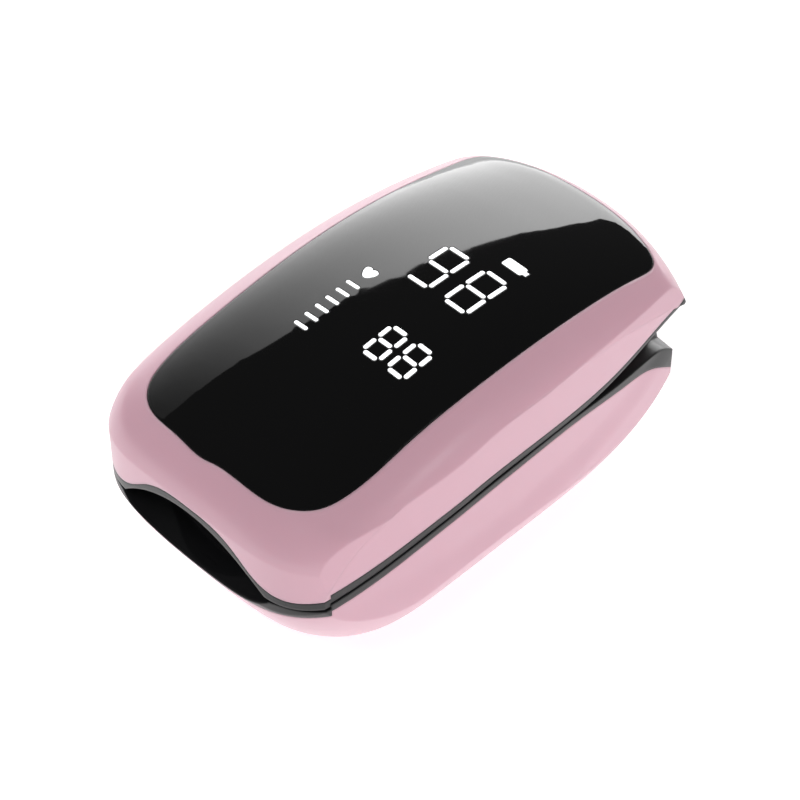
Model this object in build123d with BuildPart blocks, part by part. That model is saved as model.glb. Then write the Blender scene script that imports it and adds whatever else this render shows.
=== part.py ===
from build123d import *
from math import atan2, pi, sin
import os

# Fingertip pulse oximeter: two hinged half shells that clip on a finger.
# Millimetres. +Z up, the finger goes in along +Y, the tail that is squeezed is at +Y.
# The origin is on the table under the middle of the closed body.
# Heights in the shape formulas are above the hinge level, which stands at LEVEL.

os.makedirs("parts", exist_ok=True)

# ---------------------------------------------------------------- driving dimensions
LEVEL = 18.0             # reference level of the seam above the table
TOP_RISE = 12.0          # crown of the upper half above the level
BOWL_DEPTH = 18.6        # depth of the lower bowl before its underside is cut flat
FRONT_Y = -30.2          # front of both halves on the centre line
TAIL_Y = 29.8            # tail of the upper half on the centre line
LOW_TAIL_Y = 27.4        # tail of the lower half
CORNER_Y = -26.8         # where the front bow meets the side facet
WIDE = 19.5              # reach of the trimming outlines beyond the sides
SKIN = 1.5               # wall of both shells
LENS_THICK = 1.2
LENS_FIT = 0.08          # gap round the lens
TAPE_THICK = 0.2
LEDGE = 1.6              # width of the ledge that carries the lens
HINGE_Y = 9.0
HINGE_Z = 0.3            # above the level
PIN_RADIUS = 1.0
PIN_FIT = 0.05           # running clearance of the hinge pin
CELL_RADIUS = 5.25       # AAA cell
CELL_BODY = (-20.5, 23.2)  # ends of the cell bodies, without the terminal
CELL_X = 5.4
CELL_Z = -9.6            # cell axis below the level
DOOR_HALF = 11.0         # half width of the battery door
DOOR_ENDS = (-21.8, 24.2)
ROOF_LOW = 4.25          # upper frame's roof
ROOF_HIGH = 5.25
FLOOR_LOW = -4.2         # lower frame's floor over the cells
FLOOR_HIGH = -3.4
PAD_THICK = 1.25
HOUSING_HALF = 13.2      # half width of the raised tail housing
BOARD_LOW = 5.9          # main board
BOARD_HIGH = 6.7

SECTIONS_Y = (-31, -28.6, -26.8, -25, -22.5, -19, -14, -7, 1, 9, 16, 21, 25, 28, 32)


# ---------------------------------------------------------------- shape formulas
def side_x(y):
    """Half width of the body: widest ahead of the middle, narrower at both ends."""
    if y < -10:
        return 17.4 - 1.8 * ((-10 - y) / 16.8) ** 1.6
    return 17.4 - 0.0015 * (y + 10) ** 2


def upper_crease(y):
    """Height of the crisp upper edge of the side facet."""
    if y < CORNER_Y:
        return -0.8 + 1.6 * (y - CORNER_Y)
    if y < 0:
        t = y / CORNER_Y
        return 7.2 - 2.6 * t ** 2 - 5.4 * t ** 7
    return 7.2 - 4.0 * (y / 25) ** 2.5


def lower_crease(y):
    """Height of the soft lower edge of the side facet."""
    if y < 0:
        return -6.2 + 2.4 * (-y / 26.8) ** 2.5
    return -6.2 + 3.8 * (y / 20) ** 2.2


def bow(x, y):
    """Stretch along the body that bows its ends outwards."""
    if y < 0:
        return 1 + 0.127 * abs(x / 15.6) ** 6
    return 1 + 0.165 * (x / 17.2) ** 2


def end_round(t, power=2.5):
    t = min(max(t, 0.0), 0.9999)
    return (1 - t ** power) ** (1 / power)


def dome_reach(along):
    """Half width the dome would reach at the level; it narrows toward the tail."""
    return 18.7 - 1.0 * (max(along, 0) / 25) ** 2


def dome_height(x, along):
    """Top surface, where along is the stretched distance along the body."""
    crown = TOP_RISE - (along - 3) ** 2 / 184
    ends = end_round((-along - 25.95) / 4.6) * end_round((along - 25.4) / 4.6)
    across = (1 - abs(x / dome_reach(along)) ** 3.1) ** (1 / 3.1)
    return crown * ends * across


def bowl_reach(along):
    """Half width the bowl would reach at the level."""
    return 18.7 - 1.7 * (max(along, 0) / 25) ** 3


def bowl_height(x, along):
    """Underside, as a depth below the level: a raked bow at the front, a blunt tail."""
    if along < 0:
        rake = 1.344 * (1 - (-along / 30.9) ** 1.8) ** (1 / 1.8)
        lengthwise = (1 + rake ** -16) ** (-1 / 16)
    else:
        lengthwise = (1 - (along / 29.6) ** 4.5) ** (1 / 4.5)
    across = (1 - abs(x / bowl_reach(along)) ** 2.55) ** (1 / 2.55)
    return -BOWL_DEPTH * lengthwise * across


def formula_face(height, reach, front, back):
    """One smooth face through a height formula, with closer points at its edges."""
    columns, rows = 31, 45
    grid = []
    for column in range(columns):
        across = sin(pi * (column / (columns - 1) - 0.5))
        line = []
        for row in range(rows):
            turn = pi * (row / (rows - 1) - 0.5)
            along = (front + back) / 2 + (back - front) / 2 * sin(turn)
            x = reach(along) * across
            y = along / bow(x, along)
            line.append((x, y, LEVEL + height(x, along)))
        grid.append(line)
    return Face.make_surface_from_array_of_points(grid, tol=0.004, min_deg=3, max_deg=8)


def end_outline(front, tail, inset):
    """Plan outline with bowed ends; the sides are left wide."""
    stations = [WIDE * k / 6 for k in range(-6, 7)]
    front_points = [(x, front / bow(x, front) + inset) for x in stations]
    tail_points = [(x, tail / bow(x, tail) - inset) for x in stations]
    with BuildLine() as line:
        Spline(*front_points)
        Line(front_points[-1], tail_points[-1])
        Spline(*reversed(tail_points))
        Line(tail_points[0], front_points[0])
    return line.line


def upper_section(y, inset):
    """Facet, small step and bevel of the upper side, mirrored."""
    x = side_x(y) - inset
    crease = upper_crease(y) - inset * 0.6
    lean = 0.12 + 0.16 * (max(y, 0) / 25) ** 2
    points = [
        (x, -16),
        (x - 0.1, crease),
        (x + 0.12, crease + 0.14),
        (x + 0.12 - lean * (16 - crease), 16.14),
    ]
    with BuildLine() as line:
        Polyline(*points, *[(-px, pz) for px, pz in reversed(points)], close=True)
    return line.line


def lower_section(y, inset):
    """Facet that flares softly out into the bowl, mirrored; the flare fades at the ends."""
    x = side_x(y) - inset
    foot = x + 0.08 + 0.42 * (1 - min(abs(y) / 28, 1) ** 2)
    crease = lower_crease(y)
    with BuildLine() as line:
        Line((-x, 8), (x, 8))
        Line((x, 8), (x, crease + 1.2))
        Spline((x, crease + 1.2), (foot, crease - 2.4), tangents=[(0, -1), (0, -1)])
        Line((foot, crease - 2.4), (foot, -26))
        Line((foot, -26), (-foot, -26))
        Line((-foot, -26), (-foot, crease - 2.4))
        Spline((-foot, crease - 2.4), (-x, crease + 1.2), tangents=[(0, 1), (0, 1)])
        Line((-x, crease + 1.2), (-x, 8))
    return line.line


def side_loft(section, inset):
    """Solid between the two side facets, lofted along the body."""
    with BuildPart() as body:
        for y in SECTIONS_Y:
            with BuildSketch(Plane((0, y, LEVEL), x_dir=(1, 0, 0), z_dir=(0, -1, 0))):
                add(section(y, inset))
                make_face()
        loft()
    return body.part


def trimmed(side, front, tail, inset):
    """A side loft cut to the bowed ends."""
    with BuildPart() as body:
        add(side)
        with BuildSketch(Plane.XY.offset(-10)):
            add(end_outline(front, tail, inset))
            make_face()
        extrude(amount=60, mode=Mode.INTERSECT)
    return body.part


def mirrored_curve(points):
    """Points of a symmetric curve from its right half, which starts at x = 0."""
    return [(-x, z) for x, z in reversed(points[1:])] + list(points)


def region_below(front_curve, side_curve, bottom=-30.0, change_y=-26.2):
    """Everything below a seam curve: a wave across the front, then a line along the sides."""
    wave = mirrored_curve(front_curve)
    with BuildPart() as region:
        with BuildSketch(Plane((0, change_y, LEVEL), x_dir=(1, 0, 0), z_dir=(0, -1, 0))):
            with BuildLine():
                Spline(*wave)
                Polyline(wave[-1], (24, wave[-1][1]), (24, bottom), (-24, bottom), (-24, wave[0][1]), wave[0])
            make_face()
        extrude(amount=8)
        with BuildSketch(Plane((-24, 0, LEVEL), x_dir=(0, 1, 0), z_dir=(1, 0, 0))):
            with BuildLine():
                Spline(*side_curve)
                Polyline(side_curve[-1], (side_curve[-1][0], bottom), (change_y, bottom), side_curve[0])
            make_face()
        extrude(amount=48)
    return region.part


# ---------------------------------------------------------------- seam curves
# Points are (x, height) across the front from the middle out, and (y, height) along the sides.
PINK_TOP_WAVE = [(0, 2.8), (3, 2.65), (6, 1.6), (9, -0.6), (11.5, -1.6), (15, -1.4), (18, -0.8)]
PINK_TOP_SIDE = [
    (-26.2, -0.75), (-21, -0.2), (-14, 0.9), (-2, 1.55), (9, 1.3),
    (15, 1.75), (21, 3.0), (24, 3.5), (32, 3.6),
]
PINK_LOW_WAVE = [(0, -7.6), (3, -7.2), (6, -5.9), (9, -4.8), (12, -4.0), (15, -3.7), (18, -3.1)]
PINK_LOW_SIDE = [
    (-26.2, -3.0), (-21, -2.4), (-14, -1.1), (-2, -0.3), (9, -0.6),
    (15, -1.4), (21, -2.7), (24.4, -5.0), (32, -5.6),
]
# The upper rim's lower edge and the lower rim's upper edge; they part at the finger opening.
RIM_TOP_WAVE = [(0, 1.7), (3, 1.5), (6, 0.1), (8.5, -1.75), (11, -2.5), (14, -2.55), (18, -2.0)]
RIM_TOP_SIDE = [
    (-26.2, -1.9), (-21, -1.25), (-14, -0.05), (-2, 0.68), (9, 0.45),
    (15, 1.1), (21, 2.4), (24, 2.9), (32, 3.0),
]
RIM_LOW_WAVE = [(0, -6.4), (3, -6.0), (6, -4.75), (8.5, -3.6), (11, -2.75), (14, -2.7), (18, -2.15)]
RIM_LOW_SIDE = [
    (-26.2, -2.08), (-21, -1.43), (-14, -0.23), (-2, 0.5), (9, 0.18),
    (15, -0.4), (20, -0.6), (22.5, -1.1), (24.6, -2.6), (27, -4.2), (32, -5.0),
]

under_pink_top = region_below(PINK_TOP_WAVE, PINK_TOP_SIDE)
under_pink_low = region_below(PINK_LOW_WAVE, PINK_LOW_SIDE)
under_top_rim = region_below(RIM_TOP_WAVE, RIM_TOP_SIDE)
under_low_rim = region_below(RIM_LOW_WAVE, RIM_LOW_SIDE)


dome = formula_face(dome_height, lambda along: 0.944 * dome_reach(along), -30.52, 29.98)
bowl = formula_face(bowl_height, lambda along: 0.984 * bowl_reach(along), -30.75, 29.5)

with BuildPart() as upper_core:
    add(trimmed(side_loft(upper_section, 0), FRONT_Y, TAIL_Y, 0))
    split(bisect_by=dome, keep=Keep.BOTTOM)

with BuildPart() as lower_core:
    add(trimmed(side_loft(lower_section, 0), FRONT_Y, LOW_TAIL_Y, 0))
    split(bisect_by=bowl, keep=Keep.TOP)


def sunk(depth):
    """The upper body lowered by a depth, for everything that follows the dome."""
    return upper_core.part.moved(Location((0, 0, -depth)))


def raised(height):
    return lower_core.part.moved(Location((0, 0, height)))


def slab(x_low, x_high, y_low, y_high, z_low, z_high):
    """Plain block between two corners, heights above the level."""
    with BuildPart() as block:
        with Locations(((x_low + x_high) / 2, (y_low + y_high) / 2, LEVEL + (z_low + z_high) / 2)):
            Box(x_high - x_low, y_high - y_low, z_high - z_low)
    return block.part


def lens_outline(inset):
    """Plan outline of the lens: a bowed rectangle with round corners, moved in by inset."""
    right = [
        (0, -27.1), (5, -26.9), (9.4, -26.3), (12.0, -24.2), (13.0, -21.3), (13.3, -14),
        (13.4, -3), (13.25, 12), (13.05, 20.5), (12.5, 23.7), (9.6, 25.3), (5, 26.2), (0, 26.4),
    ]
    ring = [Vector(px, py) for px, py in right + [(-px, py) for px, py in right[-2:0:-1]]]
    points = []
    for index, point in enumerate(ring):
        run = (ring[(index + 1) % len(ring)] - ring[index - 1]).normalized()
        points.append(point - Vector(run.Y, -run.X) * inset)
    with BuildSketch() as sketch:
        with BuildLine():
            Spline(*points, periodic=True)
        make_face()
    return sketch.sketch


def lens_column(inset):
    with BuildPart() as column:
        with BuildSketch(Plane.XY.offset(LEVEL - 2)):
            add(lens_outline(inset))
        extrude(amount=20)
    return column.part


def layer(column, top, bottom):
    """The part of a column between two depths below the dome."""
    with BuildPart() as piece:
        add(column)
        add(sunk(top), mode=Mode.INTERSECT)
        add(sunk(bottom), mode=Mode.SUBTRACT)
    return piece.part


def report(name, part):
    part.label = name
    export_step(part, "parts/" + name + ".step")




def arch_section(y, half, corner, top, bottom, grow):
    """Finger tunnel section: an arc over the finger and an arc under it."""
    left, right = (-half - grow, corner), (half + grow, corner)
    with BuildSketch(Plane((0, y, LEVEL), x_dir=(1, 0, 0), z_dir=(0, -1, 0))) as section:
        with BuildLine():
            ThreePointArc(left, (0, top + grow), right)
            ThreePointArc(right, (0, bottom - grow), left)
        make_face()
    return section.sketch


def tunnel(grow, front=-32.0, back=5.5):
    """The finger's space, grown outwards for the pad and for the frame behind it."""
    with BuildPart() as space:
        add(arch_section(-32, 10.6, -2.9, 2.0, -6.7, grow))
        add(arch_section(-27, 10.8, -2.4, 2.4, -5.6, grow))
        add(arch_section(-22, 11.0, -1.2, 3.0, -3.4, grow))
        add(arch_section(-16, 11.0, -0.6, 3.1, -2.4, grow))
        add(arch_section(-5, 10.8, -0.4, 2.9, -2.3, grow))
        add(arch_section(5.5, 9.6, -0.3, 2.0, -1.9, grow))
        loft()
        add(slab(-20, 20, front, back, -15, 15), mode=Mode.INTERSECT)
    return space.part


def rod(radius, x_low, x_high, y=HINGE_Y, z=HINGE_Z):
    """Round bar along X."""
    with BuildPart() as bar:
        with Locations(Location(((x_low + x_high) / 2, y, LEVEL + z), (0, 90, 0))):
            Cylinder(radius, x_high - x_low)
    return bar.part


def post(radius, x, y, z_low, z_high):
    """Upright round bar."""
    with BuildPart() as bar:
        with Locations((x, y, LEVEL + (z_low + z_high) / 2)):
            Cylinder(radius, z_high - z_low)
    return bar.part


def combine(start, joined=(), removed=(), kept=()):
    """Fuse, trim and cut a list of solids into one piece."""
    with BuildPart() as piece:
        add(start)
        for other in joined:
            add(other)
        for other in kept:
            add(other, mode=Mode.INTERSECT)
        for other in removed:
            add(other, mode=Mode.SUBTRACT)
    return piece.part


# ---------------------------------------------------------------- upper shell
POCKET = LENS_THICK + TAPE_THICK
upper_side = {}
for inset in (SKIN, 1.62, 1.9, 2.7):
    upper_side[inset] = trimmed(side_loft(upper_section, inset), FRONT_Y, TAIL_Y, inset)
lower_side = {}
for inset in (SKIN, 1.62, 2.2):
    lower_side[inset] = trimmed(side_loft(lower_section, inset), FRONT_Y, LOW_TAIL_Y, inset)
upper_room = combine(upper_side[SKIN], kept=[sunk(SKIN)])

with BuildPart() as upper_shell:
    add(upper_core.part)
    add(upper_room, mode=Mode.SUBTRACT)
    add(layer(lens_column(-1.2), POCKET - 0.3, POCKET + 1.3))
    add(lens_column(-LENS_FIT), mode=Mode.SUBTRACT)
    add(layer(lens_column(-1.2), POCKET, POCKET + 1.3))
    add(lens_column(LEDGE), mode=Mode.SUBTRACT)
    add(under_pink_top, mode=Mode.SUBTRACT)
report("upper_shell", upper_shell.part)

# ---------------------------------------------------------------- lens with its lit marks
SEGMENT_WIDE = 0.5      # width of one display segment
MARK_DEEP = 0.25         # the marks are set this deep in the lens
SEGMENTS = {"9": "abcdfg", "8": "abcdefg"}


def bar_between(start, end, wide):
    """Round-ended bar drawn between two points."""
    run = (end - start).length
    middle = (start + end) * 0.5
    lean = atan2(end.Y - start.Y, end.X - start.X) * 180 / pi
    with Locations(Location((middle.X, middle.Y, 0), (0, 0, lean))):
        SlotCenterToCenter(run, wide)


def draw_digit(number, x, y, half_wide, half_tall):
    """Seven-segment digit about its centre."""
    gap = 0.5
    corners = {
        "a": ((-1, 1), (1, 1)), "g": ((-1, 0), (1, 0)), "d": ((-1, -1), (1, -1)),
        "f": ((-1, 1), (-1, 0)), "b": ((1, 1), (1, 0)),
        "e": ((-1, 0), (-1, -1)), "c": ((1, 0), (1, -1)),
    }
    for name in SEGMENTS[number]:
        ends = [Vector(x + u * half_wide, y + v * half_tall) for u, v in corners[name]]
        step = (ends[1] - ends[0]).normalized() * gap
        bar_between(ends[0] + step, ends[1] - step, SEGMENT_WIDE)


def mark_column(sketch):
    with BuildPart() as column:
        add(sketch)
        extrude(amount=20)
    return column.part


MARKS = Plane.XY.offset(LEVEL)
with BuildSketch(MARKS) as digit_marks:
    draw_digit("9", 0.0, 4.55, 1.5, 3.05)
    draw_digit("8", 5.2, 4.55, 1.5, 3.05)
    draw_digit("8", 3.7, -6.8, 1.1, 2.1)
    draw_digit("8", 7.1, -6.8, 1.1, 2.1)
with BuildSketch(MARKS) as bar_marks:
    for index in range(6):
        with Locations((-4.45, -10.5 + 1.45 * index)):
            SlotOverall(1.8, 0.42)
with BuildSketch(MARKS) as icon_marks:
    with Locations((5.2, 10.3)):
        RectangleRounded(2.6, 1.3, 0.25)
    with Locations((6.7, 10.3)):
        Rectangle(0.5, 0.6)
    with BuildLine():
        Spline(
            Vector(-4.4, -0.55), Vector(-4.05, -0.25), Vector(-3.6, -0.45), Vector(-3.62, -0.95),
            Vector(-4.4, -1.75),
        )
        Spline(
            Vector(-4.4, -1.75), Vector(-5.18, -0.95), Vector(-5.2, -0.45), Vector(-4.75, -0.25),
            Vector(-4.4, -0.55),
        )
    make_face()

lens_blank = layer(lens_column(0), 0, LENS_THICK)
lens_rest = combine(lens_blank, removed=[sunk(MARK_DEEP)])
marks = {}
for name, sketch in (("digits", digit_marks), ("pulse_bars", bar_marks), ("icons", icon_marks)):
    marks[name] = combine(mark_column(sketch.sketch), kept=[lens_rest])
    report(name, marks[name])
with BuildPart() as display_lens:
    add(lens_blank)
    for mark in marks.values():
        add(mark, mode=Mode.SUBTRACT)
report("display_lens", display_lens.part)
tape_ring = combine(lens_column(0.1), removed=[lens_column(1.5)])
report("lens_gasket", layer(tape_ring, LENS_THICK + 0.01, POCKET - 0.01))

# ---------------------------------------------------------------- upper frame and pad
UPPER_SCREWS = [(-9.8, -15.5), (9.8, -15.5), (-9.8, 8.0), (9.8, 8.0)]
SENSOR_Y = -8.0
PAD_FRONT = -25.95
finger = tunnel(0, -32, 6)
pad_seat = tunnel(PAD_THICK + 0.05, PAD_FRONT - 0.05, 6)
arch = tunnel(PAD_THICK + 1.05, -28.5)
pad_blank = combine(tunnel(PAD_THICK, PAD_FRONT, 5.4), removed=[finger])
all_below_roof = slab(-20, 20, -40, 40, -12, ROOF_HIGH)
upper_plug = combine(upper_side[1.62], kept=[sunk(POCKET + 1.45), all_below_roof])

with BuildPart() as upper_frame:
    add(upper_plug)
    add(upper_side[2.7], mode=Mode.SUBTRACT)
    add(slab(-20, 20, 13.5, 40, -20, 20), mode=Mode.SUBTRACT)
    add(combine(upper_plug, kept=[arch]))
    add(combine(upper_plug, kept=[slab(-16, 16, -24, 5.5, 1.2, 2.0)]))
    add(combine(upper_plug, kept=[slab(-13, 13, -24, 12, ROOF_LOW, ROOF_HIGH)]))
    add(combine(upper_plug, kept=[slab(-20, 20, -40, -26, -12, ROOF_HIGH)]))
    add(combine(upper_core.part, kept=[under_pink_top], removed=[upper_side[1.9]]))
    add(finger, mode=Mode.SUBTRACT)
    add(pad_seat, mode=Mode.SUBTRACT)
    add(under_top_rim, mode=Mode.SUBTRACT)
    for low, high in ((11.7, 13.0), (-13.0, -11.7)):
        add(slab(low, high, 6.6, 11.4, HINGE_Z, ROOF_HIGH))
        add(rod(2.4, low, high))
    for x, y in UPPER_SCREWS:
        add(post(1.5, x, y, ROOF_LOW, BOARD_LOW - 0.02))
    add(rod(PIN_RADIUS + PIN_FIT, -14, 14), mode=Mode.SUBTRACT)
    for x, y in UPPER_SCREWS:
        add(post(0.8, x, y, ROOF_LOW - 1, BOARD_LOW), mode=Mode.SUBTRACT)
    add(slab(-2.8, 2.8, SENSOR_Y - 2.8, SENSOR_Y + 2.8, 3, 6), mode=Mode.SUBTRACT)
report("upper_frame", upper_frame.part)

window_hole = slab(-2.55, 2.55, SENSOR_Y - 2.55, SENSOR_Y + 2.55, -6, 6)
report("upper_pad", combine(pad_blank, removed=[under_top_rim, window_hole]))
report("emitter_window", slab(-2.5, 2.5, SENSOR_Y - 2.5, SENSOR_Y + 2.5, 3.05, 3.65))
report("emitter_led", slab(-1.5, 1.5, SENSOR_Y - 1.5, SENSOR_Y + 1.5, 3.7, BOARD_LOW - 0.02))

# ---------------------------------------------------------------- electronics of the upper half
with BuildPart() as main_board:
    add(slab(-11.2, 11.2, -18, 18, BOARD_LOW, BOARD_HIGH))
    for x, y in UPPER_SCREWS:
        add(post(0.8, x, y, BOARD_LOW - 1, BOARD_HIGH + 1), mode=Mode.SUBTRACT)
report("main_board", main_board.part)
ON_BOARD = BOARD_HIGH + 0.02
with BuildPart() as display_module:
    add(slab(-8.4, 8.4, -11, 13, 7.2, 9.0))
    for y in (-10.0, 12.0):
        add(slab(-7.5, 7.5, y - 0.3, y + 0.3, ON_BOARD, 7.2))
report("display_module", display_module.part)
report("processor_chip", slab(4.2, 8.4, -17.0, -12.8, ON_BOARD, 7.6))
sound_hole = post(0.6, 0, 15.6, 8.0, 9)
report("buzzer", combine(post(2.2, 0, 15.6, ON_BOARD, 8.6), removed=[sound_hole]))
electrode_stem = post(0.8, 0, -14.8, ON_BOARD, 8.1)
report("touch_electrode", combine(post(2.6, 0, -14.8, 8.0, 8.35), joined=[electrode_stem]))
with BuildPart() as board_screws:
    for x, y in UPPER_SCREWS:
        add(post(0.75, x, y, ROOF_LOW + 0.1, ON_BOARD))
        add(post(1.1, x, y, ON_BOARD, 7.4))
        with Locations((x, y, LEVEL + 7.3)):
            Box(1.4, 0.3, 0.3, mode=Mode.SUBTRACT)
report("board_screws", board_screws.part)

# ---------------------------------------------------------------- lower shell and battery door
lower_room = combine(lower_side[SKIN], kept=[raised(SKIN)])
door_space = {}
for gap in (0.0, 0.1):
    with BuildPart() as column:
        with BuildSketch(Plane.XY.offset(-5)):
            with Locations((0, sum(DOOR_ENDS) / 2)):
                RectangleRounded(2 * (DOOR_HALF - gap), DOOR_ENDS[1] - DOOR_ENDS[0] - 2 * gap, 3)
        extrude(amount=5 + LEVEL - 8)
    door_space[gap] = column.part
with BuildPart() as lower_shell:
    add(lower_core.part)
    add(lower_room, mode=Mode.SUBTRACT)
    add(under_pink_low, mode=Mode.INTERSECT)
    add(slab(-30, 30, -40, 40, -30, -LEVEL), mode=Mode.SUBTRACT)
report("battery_door", combine(lower_shell.part, kept=[door_space[0.1]]))
report("lower_shell", combine(lower_shell.part, removed=[door_space[0.0]]))

# ---------------------------------------------------------------- lower frame and pad
lower_plug = combine(lower_side[1.62], kept=[raised(1.62), under_low_rim])


with BuildPart() as lower_fittings:
    with BuildSketch(Plane.YZ.offset(-HOUSING_HALF)):
        with BuildLine():
            Polyline(
                (20.5, LEVEL + 2.6), (12.3, LEVEL + 2.6), (12.3, LEVEL - 4.1), (25.0, LEVEL - 4.1),
            )
            Spline(
                (25.0, LEVEL - 4.1), (24.6, LEVEL - 2.2), (23.2, LEVEL + 0.8),
                (20.5, LEVEL + 2.6),
            )
        make_face()
    extrude(amount=2 * HOUSING_HALF)
    add(slab(-12.1, 12.1, 13.4, 20.5, FLOOR_LOW - 1, 1.5), mode=Mode.SUBTRACT)
    add(slab(-9.3, 9.3, 6.2, 6.9, FLOOR_LOW + 0.1, 1.5))
    for low, high in ((9.9, 11.4), (-11.4, -9.9)):
        add(slab(low, high, 6.9, 11.1, FLOOR_LOW + 0.1, HINGE_Z))
        add(rod(2.1, low, high))
    add(rod(PIN_RADIUS + 0.02, -14, 14), mode=Mode.SUBTRACT)

with BuildPart() as cell_bay:
    for x in (-CELL_X, CELL_X):
        with Locations(Location((x, sum(CELL_BODY) / 2, LEVEL + CELL_Z), (90, 0, 0))):
            Cylinder(5.4, 46.2)

with BuildPart() as lower_frame:
    add(lower_plug)
    add(slab(-20, 20, -40, 40, -30, -6.5), mode=Mode.SUBTRACT)
    add(slab(-13.5, 13.5, 5.9, 40, FLOOR_HIGH, 20), mode=Mode.SUBTRACT)
    add(combine(lower_core.part, kept=[under_low_rim], removed=[lower_side[2.2], under_pink_low]))
    add(finger, mode=Mode.SUBTRACT)
    add(pad_seat, mode=Mode.SUBTRACT)
    add(cell_bay.part, mode=Mode.SUBTRACT)
    add(slab(-3.4, 3.4, SENSOR_Y - 4.2, SENSOR_Y + 4.2, -7, -2), mode=Mode.SUBTRACT)
    add(lower_fittings.part)
report("lower_frame", lower_frame.part)
report("lower_pad", combine(combine(pad_blank, kept=[under_low_rim]), removed=[window_hole]))
report("detector_window", slab(-2.5, 2.5, SENSOR_Y - 2.5, SENSOR_Y + 2.5, -2.95, -2.4))
report("photodiode", slab(-1.4, 1.4, SENSOR_Y - 1.4, SENSOR_Y + 1.4, -3.7, -3.0))
report("sensor_board", slab(-3.2, 3.2, SENSOR_Y - 4.0, SENSOR_Y + 4.0, -4.25, -3.9))

# ---------------------------------------------------------------- hinge
with BuildPart() as hinge_pin:
    add(rod(PIN_RADIUS, -13.4, 13.4))
    chamfer(hinge_pin.edges().filter_by(GeomType.CIRCLE), 0.2)
report("hinge_pin", hinge_pin.part)
with BuildPart() as torsion_springs:
    for x in (-7.0, 7.0):
        start = x - 1.875
        with BuildLine() as coil:
            turns = Helix(
                pitch=0.75, height=3.75, radius=1.7, center=(start, HINGE_Y, LEVEL + HINGE_Z),
                direction=(1, 0, 0),
            )
        with BuildSketch(Plane(origin=turns @ 0, z_dir=turns % 0)):
            Circle(0.3)
        sweep(path=coil.wires()[0])
report("torsion_springs", torsion_springs.part)

# ---------------------------------------------------------------- cells and their contacts
for name, x, turned in (("cell_left", -CELL_X, 1), ("cell_right", CELL_X, -1)):
    with BuildPart() as cell:
        with Locations(Location((x, sum(CELL_BODY) / 2, LEVEL + CELL_Z), (-90 * turned, 0, 0))):
            Cylinder(CELL_RADIUS, CELL_BODY[1] - CELL_BODY[0])
            with Locations((0, 0, (CELL_BODY[1] - CELL_BODY[0]) / 2 + 0.4)):
                Cylinder(1.9, 0.8)
        fillet(cell.edges().filter_by(GeomType.CIRCLE).group_by(SortBy.RADIUS)[-1], 0.5)
    report(name, cell.part)
with BuildPart() as battery_contacts:
    for x in (-CELL_X, CELL_X):
        add(slab(x - 3.4, x + 3.4, -22.2, -21.9, -12.3, -6.8))
        add(slab(x - 3.2, x + 3.2, 24.15, 24.45, -12.3, -6.8))
report("battery_contacts", battery_contacts.part)
with BuildPart() as battery_springs:
    for x, y, way in ((-CELL_X, -21.85, 1), (CELL_X, 24.1, -1)):
        with BuildLine() as coil:
            turns = Helix(
                pitch=0.5, height=1.0 if way > 0 else 0.65, radius=2.4,
                center=(x, y + 0.16 * way, LEVEL + CELL_Z), direction=(0, way, 0),
            )
        with BuildSketch(Plane(origin=turns @ 0, z_dir=turns % 0)):
            Circle(0.15)
        sweep(path=coil.wires()[0])
report("battery_springs", battery_springs.part)
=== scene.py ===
import math

import bpy
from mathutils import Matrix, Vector


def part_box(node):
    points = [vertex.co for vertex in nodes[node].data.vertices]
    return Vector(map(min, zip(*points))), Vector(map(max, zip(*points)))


# Fingertip pulse oximeter: studio scene on a white table.

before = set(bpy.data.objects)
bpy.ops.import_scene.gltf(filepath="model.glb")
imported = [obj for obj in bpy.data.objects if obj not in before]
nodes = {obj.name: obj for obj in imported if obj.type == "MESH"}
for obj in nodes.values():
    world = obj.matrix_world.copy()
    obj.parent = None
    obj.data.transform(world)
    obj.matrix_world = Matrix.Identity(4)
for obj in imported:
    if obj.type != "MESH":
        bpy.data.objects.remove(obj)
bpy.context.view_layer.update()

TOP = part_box("display_lens")[1][2]    # crown of the glass
BELOW_TOP = 0.01145                   # depth of the camera's target under the crown
TARGET = Vector((0, 0, TOP - BELOW_TOP))
AZIMUTH, ELEVATION = math.radians(44.6), math.radians(44.0)
DISTANCE = 0.260                      # camera to target
METAL = 1.0


# ------------------------------------------------------------------ materials
def node_material(name):
    material = bpy.data.materials.new(name)
    material.use_nodes = True
    tree = material.node_tree
    tree.nodes.clear()
    out = tree.nodes.new("ShaderNodeOutputMaterial")
    shader = tree.nodes.new("ShaderNodeBsdfPrincipled")
    tree.links.new(shader.outputs["BSDF"], out.inputs["Surface"])
    return material, tree, shader


def noise(tree, scale, detail=4.0, stretch=(1, 1, 1)):
    coords = tree.nodes.new("ShaderNodeTexCoord")
    mapping = tree.nodes.new("ShaderNodeMapping")
    mapping.inputs["Scale"].default_value = stretch
    texture = tree.nodes.new("ShaderNodeTexNoise")
    texture.inputs["Scale"].default_value = scale
    texture.inputs["Detail"].default_value = detail
    tree.links.new(coords.outputs["Object"], mapping.inputs["Vector"])
    tree.links.new(mapping.outputs["Vector"], texture.inputs["Vector"])
    return texture


def mix_colors(tree, factor, first, second):
    mix = tree.nodes.new("ShaderNodeMix")
    mix.data_type = "RGBA"
    mix.inputs["A"].default_value = (*first, 1)
    mix.inputs["B"].default_value = (*second, 1)
    tree.links.new(factor, mix.inputs["Factor"])
    return mix.outputs["Result"]


def spread(tree, factor, low, high):
    remap = tree.nodes.new("ShaderNodeMapRange")
    remap.inputs["To Min"].default_value = low
    remap.inputs["To Max"].default_value = high
    tree.links.new(factor, remap.inputs["Value"])
    return remap.outputs["Result"]


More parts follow.
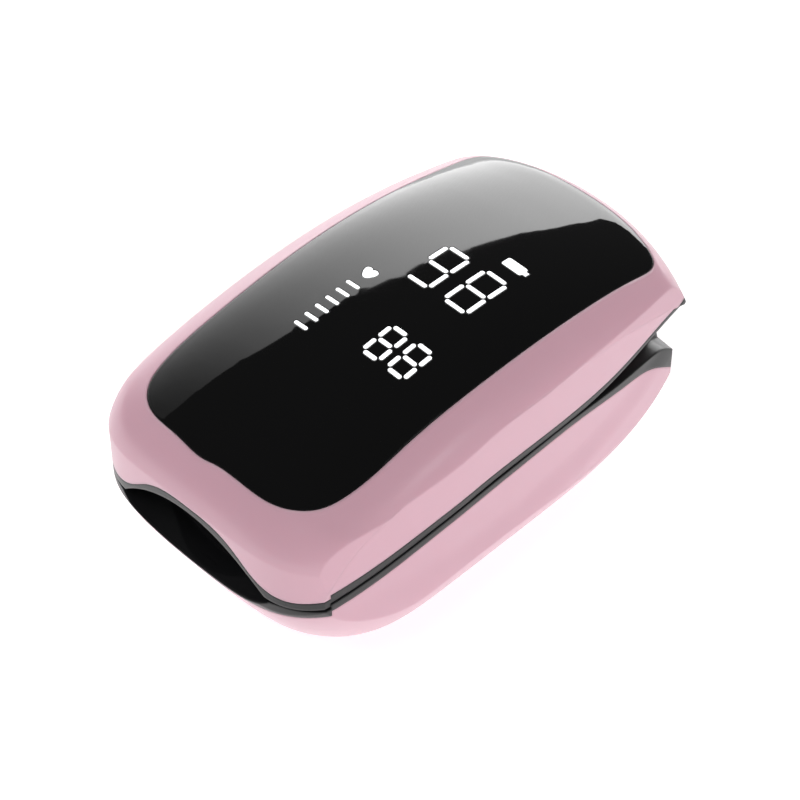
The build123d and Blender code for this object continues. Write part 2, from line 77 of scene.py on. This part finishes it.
def surface(
    name, light, dark, rough, grain, depth,
    scale=900, metallic=0.0, coat=0.0, edge=0.0, stretch=(1, 1, 1),
):
    """Moulded, coated or metal surface: mottled colour, varied roughness, fine grain, soft edges."""
    material, tree, shader = node_material(name)
    mottle = noise(tree, scale * 0.12, 3.0, stretch)
    fine = noise(tree, scale * grain, 5.0, stretch)
    color = mix_colors(tree, mottle.outputs["Fac"], light, dark)
    roughness = spread(tree, fine.outputs["Fac"], rough * 0.88, rough * 1.12)
    tree.links.new(color, shader.inputs["Base Color"])
    tree.links.new(roughness, shader.inputs["Roughness"])
    shader.inputs["Metallic"].default_value = metallic
    shader.inputs["Coat Weight"].default_value = coat
    shader.inputs["Coat Roughness"].default_value = 0.12
    bump = tree.nodes.new("ShaderNodeBump")
    bump.inputs["Strength"].default_value = depth
    bump.inputs["Distance"].default_value = 0.00004
    tree.links.new(fine.outputs["Fac"], bump.inputs["Height"])
    if edge:
        soft = tree.nodes.new("ShaderNodeBevel")
        soft.samples = 6
        soft.inputs["Radius"].default_value = edge
        tree.links.new(soft.outputs["Normal"], bump.inputs["Normal"])
    tree.links.new(bump.outputs["Normal"], shader.inputs["Normal"])
    return material, tree, shader


def lit(name, color, strength):
    """Lit segments under the glass, with a faint grain in their glow."""
    material, tree, shader = node_material(name)
    grain = noise(tree, 2500)
    glow = mix_colors(tree, grain.outputs["Fac"], color, [part * 0.96 for part in color])
    tree.links.new(glow, shader.inputs["Emission Color"])
    shader.inputs["Base Color"].default_value = (0.9, 0.9, 0.9, 1)
    shader.inputs["Roughness"].default_value = 0.25
    shader.inputs["Emission Strength"].default_value = strength
    return material


# Colours are linear: the lighter and the darker tone that each surface varies between.
pink, _, pink_shader = surface(
    "pink_shell", (0.80, 0.475, 0.565), (0.78, 0.455, 0.545), 0.33, 2.2, 0.05,
    coat=0.25, edge=0.0005,
)
pink_shader.inputs["Subsurface Weight"].default_value = 0.12
pink_shader.inputs["Subsurface Radius"].default_value = (0.0015, 0.0008, 0.0008)
pink_shader.inputs["Subsurface Scale"].default_value = 1.0
glass, _, glass_shader = surface(
    "black_glass", (0.0016, 0.0016, 0.0018), (0.0012, 0.0012, 0.0014), 0.03, 1.0, 0.0,
    coat=0.3, edge=0.0002,
)
glass_shader.inputs["Coat Roughness"].default_value = 0.02
window, _, window_shader = surface(
    "clear_window", (0.8, 0.82, 0.84), (0.76, 0.78, 0.8), 0.06, 1.0, 0.02,
)
window_shader.inputs["Transmission Weight"].default_value = 0.9
marks = lit("lit_marks", (0.95, 0.97, 1.0), 0.9)
black = surface(
    "black_plastic", (0.012, 0.012, 0.013), (0.008, 0.008, 0.009), 0.34, 3.0, 0.08,
    coat=0.1, edge=0.0004,
)[0]
rubber = surface(
    "black_silicone", (0.016, 0.016, 0.017), (0.011, 0.011, 0.012), 0.62, 4.0, 0.2,
    edge=0.0003,
)[0]
tape = surface("black_tape", (0.02, 0.02, 0.02), (0.012, 0.012, 0.012), 0.8, 4.0, 0.2)[0]
board = surface(
    "board_green", (0.02, 0.16, 0.07), (0.012, 0.11, 0.05), 0.4, 2.0, 0.15,
    coat=0.3, edge=0.0001,
)[0]
chip = surface(
    "chip_black", (0.022, 0.022, 0.024), (0.014, 0.014, 0.016), 0.55, 5.0, 0.3, edge=0.0001,
)[0]
module = surface(
    "display_body", (0.62, 0.62, 0.6), (0.5, 0.5, 0.49), 0.5, 3.0, 0.15, edge=0.0002,
)[0]
led = surface(
    "led_body", (0.75, 0.72, 0.66), (0.68, 0.64, 0.57), 0.45, 3.0, 0.1, edge=0.0001,
)[0]
copper = surface(
    "copper", (0.78, 0.38, 0.22), (0.66, 0.3, 0.17), 0.3, 2.0, 0.1,
    metallic=METAL, edge=0.0001,
)[0]
steel = surface(
    "steel", (0.58, 0.58, 0.59), (0.48, 0.48, 0.5), 0.26, 2.0, 0.12,
    metallic=METAL, edge=0.0001, stretch=(0.2, 1, 1),
)[0]
spring = surface(
    "spring_steel", (0.46, 0.46, 0.47), (0.36, 0.36, 0.37), 0.3, 2.0, 0.12, metallic=METAL,
)[0]
nickel = surface(
    "nickel_plate", (0.68, 0.66, 0.62), (0.57, 0.55, 0.51), 0.28, 2.0, 0.12,
    metallic=METAL, edge=0.0001,
)[0]


def cell_wrap():
    """Cell sleeve: dark body with a bright band and bare metal ends, set along its length."""
    material, tree, shader = node_material("cell_wrap")
    low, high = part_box("cell_left")
    coords = tree.nodes.new("ShaderNodeTexCoord")
    split = tree.nodes.new("ShaderNodeSeparateXYZ")
    tree.links.new(coords.outputs["Object"], split.inputs["Vector"])
    along = tree.nodes.new("ShaderNodeMapRange")
    along.inputs["From Min"].default_value = low[1]
    along.inputs["From Max"].default_value = high[1]
    tree.links.new(split.outputs["Y"], along.inputs["Value"])
    ramp = tree.nodes.new("ShaderNodeValToRGB")
    ramp.color_ramp.interpolation = "CONSTANT"
    stops = ramp.color_ramp.elements
    stops[0].color = (0.6, 0.6, 0.58, 1)
    stops[1].position = 0.03
    stops[1].color = (0.03, 0.08, 0.24, 1)
    for position, color in (
        (0.7, (0.75, 0.76, 0.78, 1)), (0.74, (0.03, 0.08, 0.24, 1)), (0.97, (0.6, 0.6, 0.58, 1)),
    ):
        stop = stops.new(position)
        stop.color = color
    tree.links.new(along.outputs["Result"], ramp.inputs["Fac"])
    tree.links.new(ramp.outputs["Color"], shader.inputs["Base Color"])
    grain = noise(tree, 1500)
    tree.links.new(spread(tree, grain.outputs["Fac"], 0.22, 0.3), shader.inputs["Roughness"])
    shader.inputs["Coat Weight"].default_value = 0.4
    return material


cell = cell_wrap()
LOOKS = {
    "upper_shell": pink, "lower_shell": pink, "battery_door": pink,
    "display_lens": glass, "lens_gasket": tape,
    "digits": marks, "pulse_bars": marks, "icons": marks,
    "upper_frame": black, "lower_frame": black,
    "upper_pad": rubber, "lower_pad": rubber,
    "emitter_window": window, "detector_window": window,
    "emitter_led": led, "photodiode": chip,
    "main_board": board, "sensor_board": board, "display_module": module,
    "processor_chip": chip, "buzzer": chip, "touch_electrode": copper,
    "board_screws": steel, "hinge_pin": steel, "torsion_springs": spring,
    "cell_left": cell, "cell_right": cell,
    "battery_contacts": nickel, "battery_springs": nickel,
}
for name, material in LOOKS.items():
    mesh = nodes[name].data
    mesh.materials.clear()
    mesh.materials.append(material)


# ------------------------------------------------------------------ table, card and lights
def panel(name, points, faces, material):
    """Staging piece that isn't part of the object."""
    mesh = bpy.data.meshes.new(name)
    mesh.from_pydata(points, [], faces)
    piece = bpy.data.objects.new(name, mesh)
    bpy.context.scene.collection.objects.link(piece)
    mesh.materials.append(material)


floor_material, _, floor_shader = surface(
    "table_white", (0.93, 0.93, 0.93), (0.9, 0.9, 0.9), 0.6, 0.2, 0.02, scale=120,
)
floor_shader.inputs["Emission Color"].default_value = (1, 1, 1, 1)
floor_shader.inputs["Emission Strength"].default_value = 0.55
TABLE = 2.0
corners = [(-TABLE, -TABLE, 0), (TABLE, -TABLE, 0), (TABLE, TABLE, 0), (-TABLE, TABLE, 0)]
panel("table", corners, [(0, 1, 2, 3)], floor_material)


def direction(azimuth, elevation):
    a, e = math.radians(azimuth), math.radians(elevation)
    return Vector((math.cos(a) * math.cos(e), math.sin(a) * math.cos(e), math.sin(e)))


def card_material():
    """Emissive card, brighter toward the tail side and fading toward the finger side."""
    material, tree, shader = node_material("reflector_card")
    coords = tree.nodes.new("ShaderNodeTexCoord")
    split = tree.nodes.new("ShaderNodeSeparateXYZ")
    tree.links.new(coords.outputs["Object"], split.inputs["Vector"])
    remap = tree.nodes.new("ShaderNodeMapRange")
    remap.interpolation_type = "SMOOTHSTEP"
    remap.inputs["From Min"].default_value = -0.05
    remap.inputs["From Max"].default_value = 0.60
    remap.inputs["To Min"].default_value = 0.06
    remap.inputs["To Max"].default_value = 1.0
    tree.links.new(split.outputs["Y"], remap.inputs["Value"])
    power = tree.nodes.new("ShaderNodeMath")
    power.operation = "MULTIPLY"
    power.inputs[1].default_value = 3.9
    tree.links.new(remap.outputs["Result"], power.inputs[0])
    shader.inputs["Base Color"].default_value = (0, 0, 0, 1)
    shader.inputs["Emission Color"].default_value = (1, 1, 1, 1)
    tree.links.new(power.outputs["Value"], shader.inputs["Emission Strength"])
    return material


# The card's upper edge is what the glass shows as the sweeping line between grey and black.
EDGE = [
    (60, 6), (85, 9), (105, 15), (120, 27), (130, 37.5), (143, 46.7), (160, 50.5), (176, 49.5),
    (192, 48), (205, 47),
]
EDGE_STEPS = 8
CARD_FAR = 0.8
card_points = []
card_faces = []
smooth_edge = []
for index in range(1, len(EDGE) - 2):
    before, start, end, after = (Vector(EDGE[index + offset]) for offset in (-1, 0, 1, 2))
    for step in range(EDGE_STEPS):
        t = step / EDGE_STEPS
        smooth_edge.append(0.5 * (
            2 * start + (end - before) * t
            + (2 * before - 5 * start + 4 * end - after) * t ** 2
            + (3 * start - before - 3 * end + after) * t ** 3
        ))
for azimuth, elevation in smooth_edge:
    for height in (-1.2, elevation):
        card_points.append(tuple(TARGET + direction(azimuth, height) * CARD_FAR))
for index in range(len(smooth_edge) - 1):
    first = 2 * index
    card_faces.append((first, first + 1, first + 3, first + 2))
panel("reflector", card_points, card_faces, card_material())


def area_light(name, azimuth, elevation, distance, size, power, glossy=True):
    data = bpy.data.lights.new(name, "AREA")
    data.shape = "DISK"
    data.size = size
    data.energy = power
    light = bpy.data.objects.new(name, data)
    bpy.context.scene.collection.objects.link(light)
    way = direction(azimuth, elevation)
    light.location = TARGET + way * distance
    light.rotation_euler = way.to_track_quat("Z", "Y").to_euler()
    light.visible_glossy = glossy


area_light("key", -75, 60, 0.7, 0.35, 1.35, glossy=False)
area_light("side", 10, 25, 0.6, 0.3, 1.0, glossy=False)
area_light("left", -150, 30, 0.6, 0.35, 0.75, glossy=False)
area_light("rim", 20, 40, 0.7, 0.12, 0.12)

world = bpy.data.worlds.new("studio")
world.use_nodes = True
world.node_tree.nodes["Background"].inputs["Color"].default_value = (1, 1, 1, 1)
world.node_tree.nodes["Background"].inputs["Strength"].default_value = 0.08
bpy.context.scene.world = world

# ------------------------------------------------------------------ camera
back = Vector((
    math.sin(AZIMUTH) * math.cos(ELEVATION),
    -math.cos(AZIMUTH) * math.cos(ELEVATION),
    math.sin(ELEVATION),
))
camera_data = bpy.data.cameras.new("camera")
camera_data.lens = 113.0              # millimetres, from the sensor width below
camera_data.sensor_width = 36.0
camera_data.shift_x = -0.00875
camera_data.shift_y = -0.0375
camera_data.clip_start = 0.01
camera = bpy.data.objects.new("camera", camera_data)
bpy.context.scene.collection.objects.link(camera)
camera.location = TARGET + back * DISTANCE
camera.rotation_euler = back.to_track_quat("Z", "Y").to_euler()
bpy.context.scene.camera = camera
bpy.context.scene.view_settings.view_transform = "Standard"
